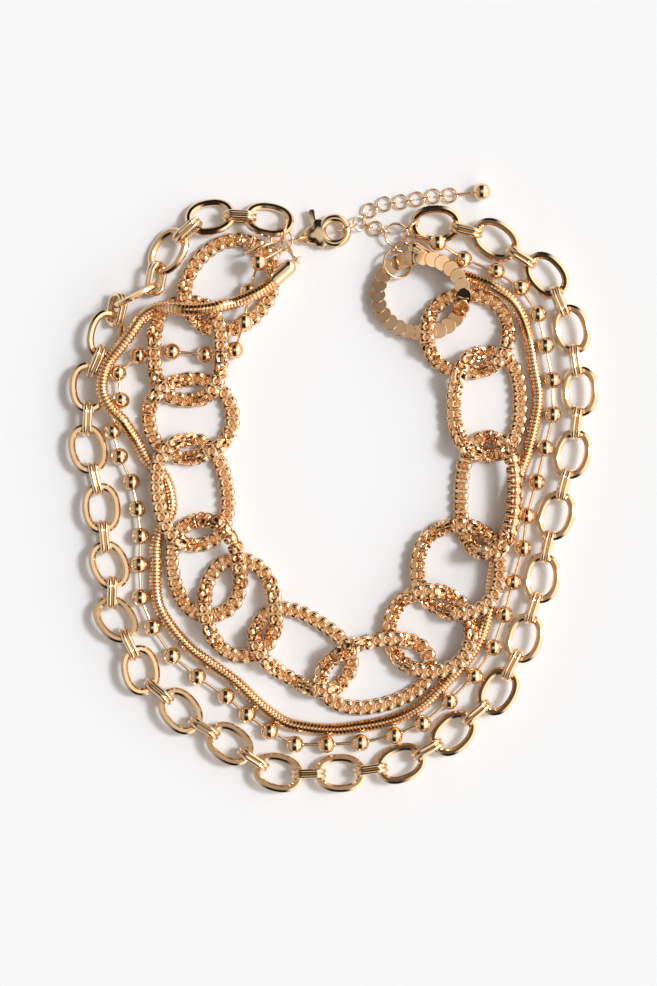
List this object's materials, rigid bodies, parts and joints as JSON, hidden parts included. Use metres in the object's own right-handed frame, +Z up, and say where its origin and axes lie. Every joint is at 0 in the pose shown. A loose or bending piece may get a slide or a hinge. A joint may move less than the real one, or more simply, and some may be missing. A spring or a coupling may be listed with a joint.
{
  "type": "multi strand necklace",
  "caption": "Multi-strand gold-plated necklace laid flat: chained rings, oval links, balls on bars and a snake chain, with a lobster clasp and extender.",
  "frame": {"origin": "middle of the laid-out necklace on the floor it lies on", "axes": "+X to the necklace's right as laid, +Y towards the clasp, +Z up"},
  "size_m": [0.177, 0.2034, 0.0133],
  "materials": {
    "gold": "polished",
    "pale_gold": "polished",
    "rose_gold": "polished"
  },
  "bodies": {
    "necklace": {"chain_ring_01": "rose_gold", "chain_ring_02": "rose_gold", "chain_ring_03": "rose_gold", "chain_ring_04": "rose_gold", "chain_ring_05": "rose_gold", "chain_ring_06": "rose_gold", "chain_ring_07": "rose_gold", "chain_ring_08": "rose_gold", "chain_ring_09": "rose_gold", "chain_ring_10": "rose_gold", "chain_ring_11": "rose_gold", "chain_ring_12": "rose_gold", "chain_ring_13": "rose_gold", "chain_ring_14": "rose_gold", "oval_links": "gold", "twin_rings": "pale_gold", "ball_beads": "gold", "ball_bars": "pale_gold", "snake_chain": "gold", "snake_end_caps": "pale_gold", "extender_links": "gold", "extender_ball": "gold", "left_hub_ring": "gold", "left_strand_ring": "gold", "left_link_ring": "gold", "left_tie_ring": "gold", "clasp_ring": "gold", "right_hub_ring": "gold", "right_strand_ring": "gold", "right_tie_ring": "gold", "right_link_ring": "gold", "clasp_body": "gold"},
    "lever": {"clasp_lever": "pale_gold"}
  },
  "joints": [
    {"name": "clasp lever", "type": "hinge", "parent": "necklace", "child": "lever", "pos_m": [-0.00554, 0.0844, 0.00275], "axis": [0, 0, 1], "range_deg": [0, 21], "stiffness_Nm_per_rad": 0.0015, "springref_deg": -11.46}
  ]
}
